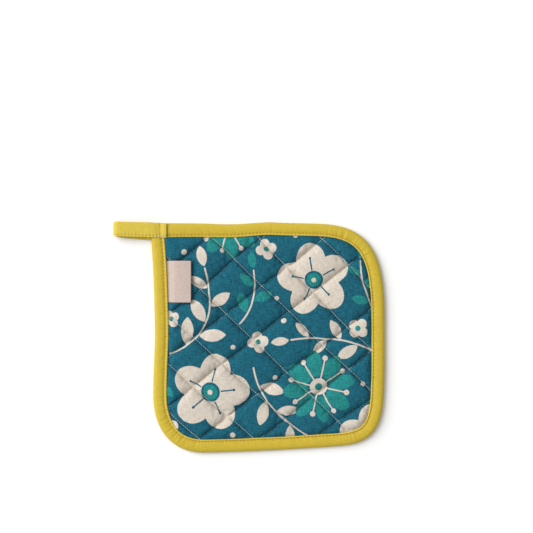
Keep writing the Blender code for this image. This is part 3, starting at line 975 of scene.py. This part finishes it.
drifted, lip_drift, row_drift = np.array(TAPE_DRIFT).T
lip_drift = np.interp(travel, drifted, lip_drift)
waver = soft_noise(np.outer(travel, (1.0, 0.0, 0.0)), LIP_WAVER_LENGTH_MM, 3)
lip_drift += LIP_WAVER_MM * waver
row_drift = np.interp(travel, drifted, row_drift)
pressed = (PRESSED_FROM_MM - (tape_length - travel)) / PRESSED_OVER_MM
pressed = PRESSED_MM * np.clip(pressed, 0.0, 1.0)

tape = lines_of("tape_path", [(np.pad(line, ((0, 0), (0, 1))) * MM).tolist()])
tight = np.clip(turning * TIGHT_RADIUS_MM, 0.0, 1.0)
for name, values in zip(PATH_FIELDS, (travel, tight, pressed, lip_drift, row_drift)):
    store(tape.data, name, values)
store(tape.data, "inward", np.pad(left, ((0, 0), (0, 1))), "FLOAT_VECTOR")
reach, height, lift = np.array(TAPE_SECTION).T
section = lines_of("tape_section", [(np.stack((reach, height, height * 0.0), 1) * MM).tolist()])
row_reach = np.where(reach < TAPE_ROW_MM, ROW_REACH_OUT_MM, ROW_REACH_IN_MM)
at_row = np.exp(-(((reach - TAPE_ROW_MM) / row_reach) ** 2))
gives, at_lip = height > GIVES_ABOVE_MM, reach > LIP_FROM_MM
on_bends = (reach, lift, gives.astype(float), at_lip.astype(float), at_row)
for name, values in zip(SECTION_FIELDS, on_bends):
    store(section.data, name, values)
# A painted highlight: the lip's crest is mixed towards a paler yellow, where light catches it.
painted_lip_highlight = np.exp(-(((reach - LIP_HIGHLIGHT_AT_MM) / LIP_HIGHLIGHT_REACH_MM) ** 2)) * (height > LIP_HIGHLIGHT_ABOVE_MM)
store(section.data, "painted_lip_highlight", painted_lip_highlight)
values = {
    "Section": section,
    "Row depth": TAPE_ROW_MM,
    "Pitch": TAPE_PITCH_MM,
    "Gather": GATHER_MM,
    "Gather length": GATHER_LENGTH_MM,
    "Swell": SWELL_MM,
    "Swell length": SWELL_LENGTH_MM,
    "Wrinkle": WRINKLE_MM,
    "Wrinkle length": WRINKLE_LENGTH_MM,
    "Dip": DIP_MM,
    "Cloth": cotton_tape("yellow_cotton_tape", "#C1A830"),
}
binding = put_through(tape, tape_tree(), values, "bias_tape")
bpy.data.objects.remove(section)
face_outwards(binding.data)
for name in PATH_FIELDS + SECTION_FIELDS + ("inward",):
    binding.data.attributes.remove(binding.data.attributes[name])
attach(binding, "root")
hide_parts("edge_binding")

# The binding's topstitching. Yellow thread of the tape's colour, sunk in the groove on both
# faces. It stops short of the tape's ends, which lie on each other under the loop.
TAPE_STITCH_MM, TAPE_THREAD_MM = 2.2, 0.5
yellow_thread = sewing_thread("yellow_polyester_thread", "#C6A830")
seat = (line + left * (TAPE_ROW_MM + lip_drift + row_drift)[:, None])[5:-5]
tape_surface = surface_of(binding)
tape_rows = [laid_on(tape_surface, seat, 0.1), laid_on(tape_surface, seat, 0.0, way=1)]
tape_rows = lines_of("binding_rows", tape_rows)
sizes = TAPE_PITCH_MM, TAPE_STITCH_MM, TAPE_THREAD_MM
topstitch = stitched(tape_rows, "binding_stitches", yellow_thread, *sizes)
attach(topstitch, "root")

# The hanging loop. The tape runs off the square corner, turns back on itself and is stitched
# down over the corner, with its end folded under. One row runs along its lower edge, and one
# across it where it meets the binding.
LOOP_WIDTH_MM = 12.9
LOOP_THICK_MM = 1.3
LOOP_STEP_MM = 0.8
LOOP_TIP_X_MM = -116.9
# Its middle, from the binding's edge out along the table, round the tip and back over it.
LOOP_MIDDLE = np.array(
    (
        (-85.85, 90.3, 2.7),
        (-89.5, 90.6, 1.35),
        (-95.5, 91.0, 0.66),
        (-101.0, 91.6, 0.66),
        (-107.0, 92.0, 0.66),
        (-113.4, 93.2, 0.66),
        (-115.9, 93.2, 2.2),
        (-116.35, 93.2, 3.9),
        (-115.9, 93.2, 5.6),
        (-113.4, 93.45, 7.15),
        (-105.0, 93.3, 7.1),
        (-98.0, 93.1, 6.9),
        (-92.0, 92.9, 6.75),
        (-85.0, 92.7, 6.55),
        (-81.3, 92.5, 6.3),
        (-78.0, 92.35, 5.62),
        (-76.0, 92.3, 5.6),
        (-70.9, 92.2, 5.65),
    )
)
# Its section: how far across, as a share of its width, and how far up, of its thickness. The
# lower row is sewn in the groove at one of these bends, and the row across it at one X.
LOOP_SECTION = (
    (-0.5, 0.0),
    (-0.492, 0.30),
    (-0.465, 0.44),
    (-0.43, 0.46),
    (-0.40, 0.40),
    (-0.375, 0.22),
    (-0.35, 0.40),
    (-0.30, 0.50),
    (-0.22, 0.54),
    (-0.08, 0.56),
    (0.08, 0.56),
    (0.24, 0.54),
    (0.38, 0.50),
    (0.46, 0.42),
    (0.492, 0.28),
    (0.5, 0.0),
    (0.49, -0.36),
    (0.40, -0.5),
    (0.15, -0.5),
    (-0.15, -0.5),
    (-0.40, -0.5),
    (-0.49, -0.36),
)
LOOP_ROW = 5
LOOP_ROW_PITCH_MM = 3.0
CROSS_ROW_X_MM = -77.2
CROSS_ROW_PITCH_MM = 2.6
CROSS_ROW_BENDS = slice(2, 14)
PUCKER_SHARE, PUCKER_MM, PUCKER_WIDTH_MM = -0.36, 0.24, 2.2
# Its end is folded under over this length, which makes it thicker there. Small gathers slant
# across it, its width wavers, it is drawn in at the tip, and its first end is cut slantwise.
END_FOLD_MM, END_FOLD_RISE_MM, END_FOLD_MORE = 4.6, 2.0, 0.8
LOOP_GATHER_MM, LOOP_GATHER_LENGTH_MM = 0.10, 4.0
LOOP_WAVER_MM, LOOP_WAVER_LENGTH_MM = 0.22, 15.0
TIP_REACH_MM, TIP_LOWER_MM, TIP_UPPER_MM = 1.5, -1.0, 0.15
CUT_REACH_MM, CUT_SLOPE, CUT_FROM_Y_MM = 5.0, 0.11, 97.0


def curved(points, step_mm):
    """A smooth line through the points (Catmull-Rom), at an even step."""
    ends = np.concatenate((2 * points[:1] - points[1:2], points, 2 * points[-1:] - points[-2:-1]))
    share = np.linspace(0.0, 1.0, 12, endpoint=False)[:, None]
    spans = []
    for a, b, c, d in zip(ends, ends[1:], ends[2:], ends[3:]):
        cubic = (3 * b - a - 3 * c + d) * share**3 + (2 * a - 5 * b + 4 * c - d) * share**2
        spans.append(0.5 * (cubic + (c - a) * share + 2 * b))
    line = np.concatenate(spans + [points[-1:]])
    length = np.linalg.norm(np.diff(line, axis=0), axis=1).sum()
    return along_line(line, np.linspace(0.0, length, max(2, round(length / step_mm)) + 1))


loop_line, loop_run = curved(LOOP_MIDDLE, LOOP_STEP_MM)
across_share, up = np.array(LOOP_SECTION).T
upper_face, upper_layer = up > 0.0, loop_line[:, 2] > 4.0
side = np.array((0.0, 1.0, 0.0))
normal = np.cross(loop_run, side)
normal /= np.linalg.norm(normal, axis=1, keepdims=True)
gone = np.arange(len(loop_line)) * LOOP_STEP_MM

# Small gathers, a thicker end where it is folded under, and puckers beside the lower row.
gathers = []
for share in across_share:
    slanting = np.stack((gone + 2.5 * share, share * 4.0 + gone * 0.0, gone * 0.0), 1)
    gathers.append(soft_noise(slanting, LOOP_GATHER_LENGTH_MM, 13))
folded = np.clip((gone - gone[-1] + END_FOLD_MM) / END_FOLD_RISE_MM, 0.0, 1.0)
folded = folded[:, None] * upper_face
by_row = (across_share - PUCKER_SHARE) * LOOP_WIDTH_MM / PUCKER_WIDTH_MM
by_row = np.exp(-(by_row**2)) * upper_face
stands = LOOP_THICK_MM * up * (1.0 + END_FOLD_MORE * folded)
stands += LOOP_GATHER_MM * np.stack(gathers, 1) * (np.abs(up) > 0.3)
stands -= PUCKER_MM * np.cos(2.0 * math.pi * gone / LOOP_ROW_PITCH_MM)[:, None] * by_row

# Its width wavers a little, and its lower corner is drawn in where it turns round the tip.
waver = soft_noise(np.outer(gone, (1.0, 0.0, 0.0)), LOOP_WAVER_LENGTH_MM, 11)
aside = LOOP_WIDTH_MM * across_share + LOOP_WAVER_MM * waver[:, None]
near_tip = np.exp(-(((loop_line[:, 0] - LOOP_TIP_X_MM) / TIP_REACH_MM) ** 2))[:, None]
drawn_in = np.where(across_share < 0.0, TIP_LOWER_MM, TIP_UPPER_MM)
aside -= near_tip * drawn_in * np.clip(np.abs(across_share) * 4.0 - 1.0, 0.0, 1.0)
rings = loop_line[:, None] + side * aside[..., None] + normal[:, None] * stands[..., None]

# Its first end is cut slantwise, to lie along the binding's edge, and it stays on the table.
at_edge = np.clip(1.0 - gone / CUT_REACH_MM, 0.0, 1.0)[:, None]
rings[..., 0] += CUT_SLOPE * at_edge * (CUT_FROM_Y_MM - rings[..., 1])
rings[..., 2] = np.maximum(rings[..., 2], 0.0)
loop = tube("loop_tape", rings)


def needle_holes(places_mm, pitch_mm):
    """How near a needle hole is at places along a row, from 0 to 1."""
    return 0.5 + 0.5 * np.cos(2.0 * math.pi * places_mm / pitch_mm)


# Both rows are darkened in the tape's needle-hole colour, broadly round each hole: needle holes,
# and painted shade of the stitched row.
lower_holes_and_shade = needle_holes(gone + LOOP_ROW_PITCH_MM / 2.0, LOOP_ROW_PITCH_MM)
lower_holes_and_shade = (np.arange(len(up)) == LOOP_ROW) * lower_holes_and_shade[:, None]
by_cross_row = np.exp(-(((loop_line[:, 0] - CROSS_ROW_X_MM) / 0.5) ** 2)) * upper_layer
cross_holes_and_shade = needle_holes(across_share * LOOP_WIDTH_MM, CROSS_ROW_PITCH_MM) * (up > 0.3)
store(loop.data, "needle_hole", np.maximum(lower_holes_and_shade, by_cross_row[:, None] * cross_holes_and_shade))
loop.data.materials.append(cotton_tape("yellow_cotton_loop", "#CCB441"))
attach(loop, "root")
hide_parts("hanging_loop")

# The loop's stitches. Yellow thread again: a row along its lower edge, which stops short of
# both its ends, and one across it, where the strip lies on the binding.
LOOP_STITCH_MM, LOOP_THREAD_MM = 2.3, 0.45
LOWER_LIFT_MM, CROSS_LIFT_MM, TABLE_LIFT_MM = 0.12, 0.15, 0.2
lower_row = (rings[:, LOOP_ROW] + normal * LOWER_LIFT_MM) * MM
lower_row[:, 2] = np.maximum(lower_row[:, 2], TABLE_LIFT_MM * MM)
from_cross = np.where(upper_layer, np.abs(loop_line[:, 0] - CROSS_ROW_X_MM), np.inf)
cross_row = rings[from_cross.argmin(), CROSS_ROW_BENDS] + (0.0, 0.0, CROSS_LIFT_MM)
cross_row *= MM
loop_rows = lines_of("loop_rows", [lower_row[5:-4].tolist(), cross_row.tolist()])
sizes = LOOP_ROW_PITCH_MM, LOOP_STITCH_MM, LOOP_THREAD_MM
loop_stitches = stitched(loop_rows, "loop_stitches", yellow_thread, *sizes)
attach(loop_stitches, "root")

# Two clipped thread ends. The pale thread was locked where the loop's rows meet, and its cut
# ends lie loose there, on the corner and on the print.
TAIL_RADIUS_MM, TAIL_STEP_MM, TAIL_SIDES = 0.2, 0.25, 6
TAILS = (
    ((-80.4, 87.5, 7.15), (-78.6, 87.3, 6.9), (-76.8, 87.6, 6.85), (-75.4, 87.5, 7.1)),
    (
        (-74.4, 87.6, 7.3),
        (-73.2, 88.3, 7.6),
        (-72.3, 87.8, 7.6),
        (-72.9, 87.2, 7.5),
        (-73.8, 87.9, 7.65),
    ),
)
turns = np.linspace(0.0, 2.0 * math.pi, TAIL_SIDES, endpoint=False)[None, :, None]
for number, points in enumerate(TAILS):
    tail, tail_run = curved(np.array(points), TAIL_STEP_MM)
    flat_side = np.cross(tail_run, (0.0, 0.0, 1.0))
    flat_side /= np.linalg.norm(flat_side, axis=1, keepdims=True)
    upward = np.cross(flat_side, tail_run)
    around = flat_side[:, None] * np.cos(turns) + upward[:, None] * np.sin(turns)
    thread_end = tube(f"thread_end_{number}", tail[:, None] + TAIL_RADIUS_MM * around)
    thread_end.data.materials.append(pale_thread)
    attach(thread_end, "root")

# The side tab. A plain pale woven ribbon, folded double, its cut ends caught under the tape
# and its folded edge standing a little off the quilting.
TAB_THICK_MM = 0.7
TAB_FREE_FROM_MM, TAB_FREE_OVER_MM = -66.0, 16.0
TAB_CURL_MM = 0.35
# Its lower free corner stands up most, from this Y down and over this far.
CORNER_LIFT_MM, CORNER_BELOW_MM, CORNER_OVER_MM = 0.8, 42.0, 12.0
tab_line, tab_run = curved(np.stack((tab_x, tab_x * 0.0, tab_heights), 1), 0.8)
tab_normal = np.stack((-tab_run[:, 2], tab_run[:, 2] * 0.0, tab_run[:, 0]), 1)
tab_y = np.linspace(TAB_LOW_MM, TAB_HIGH_MM, 45)
free = np.clip((tab_line[:, 0] - TAB_FREE_FROM_MM) / TAB_FREE_OVER_MM, 0.0, 1.0)[:, None]
up_it = np.outer(tab_y, (0.0, 1.0, 0.0))
waver = TAB_CURL_MM * soft_noise(up_it, 22.0, 19) * free
curl = TAB_CURL_MM * soft_noise(up_it, 14.0, 17) * free
at_corner = np.clip((CORNER_BELOW_MM - tab_y) / CORNER_OVER_MM, 0.0, 1.0)
curl += CORNER_LIFT_MM * free**2 * at_corner**2
middle = np.broadcast_arrays(tab_line[:, :1] + waver, tab_y, tab_line[:, 2:] + curl)
middle = np.stack(middle, 2)
half = tab_normal[:, None] * TAB_THICK_MM / 2.0
rings = np.concatenate((middle + half, (middle - half)[:, ::-1]), 1)
tab = tube("woven_side_tab", rings)

# Undyed cotton ribbon, plain woven and matt. Its threads are 0.4 mm apart, and are drawn
# 0.8 mm apart, to show.
woven_ribbon, tree, shader = new_material("pale_woven_ribbon")
place = add(tree, "ShaderNodeTexCoord", {}, {}).outputs["Object"]
in_mm = add(tree, "ShaderNodeVectorMath", {"operation": "SCALE"}, {0: place, "Scale": 1000.0})
weave = threads(tree, in_mm, 0.8, 1.6)
colour = tinted(tree, dye("#BBA9A0"), weave, 0.2)
cloth_finish(tree, shader, colour, weave, 0.3, 0.15, roughness=0.8, specular=0.3, sheen=0.0)
tab.data.materials.append(woven_ribbon)
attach(tab, "root")
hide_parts("side_tab")

# Where it lies. White, wholly matt paper under one big soft lamp at the upper left, in a pale
# room, with the camera straight above, whose frame is FRAME_WIDTH_M wide at that distance.
LAMP_TOWARDS = Vector((-0.75, 0.35, 0.70)).normalized()
LAMP_AWAY_M, LAMP_SIDE_M, LAMP_WATTS = 8.0, 6.6, 780.0
ROOM_LIGHT = 0.52
FRAME_WIDTH_M, CAMERA_AWAY_M, SENSOR_MM = 0.4594, 1.5, 36.0
CAMERA_PLACE = (0.0151, 0.0612, 1.505)
bpy.ops.mesh.primitive_plane_add(size=4.0, location=(0.0, 0.0, -0.0001))
paper = bpy.context.object
paper.name = "paper_floor"
white_paper, tree, shader = new_material("white_paper")
shader.inputs["Base Color"].default_value = dye("#F2F2F2")
shader.inputs["Roughness"].default_value = 1.0
shader.inputs["Specular IOR Level"].default_value = 0.0
paper.data.materials.append(white_paper)

lamp = placed("soft_lamp", bpy.data.lights.new("soft_lamp", "AREA"))
lamp.data.size = LAMP_SIDE_M
lamp.data.energy = LAMP_WATTS
lamp.location = LAMP_TOWARDS * LAMP_AWAY_M
lamp.rotation_euler = (-LAMP_TOWARDS).to_track_quat("-Z", "Y").to_euler()
room = bpy.data.worlds.new("pale_room")
room.use_nodes = True
room.node_tree.nodes["Background"].inputs["Color"].default_value = (1.0, 1.0, 1.0, 1.0)
room.node_tree.nodes["Background"].inputs["Strength"].default_value = ROOM_LIGHT
bpy.context.scene.world = room
bpy.context.scene.view_settings.view_transform = "Standard"

camera = placed("overhead_camera", bpy.data.cameras.new("overhead_camera"))
camera.data.sensor_width = SENSOR_MM
camera.data.lens = SENSOR_MM * CAMERA_AWAY_M / FRAME_WIDTH_M
camera.location = CAMERA_PLACE
bpy.context.scene.camera = camera
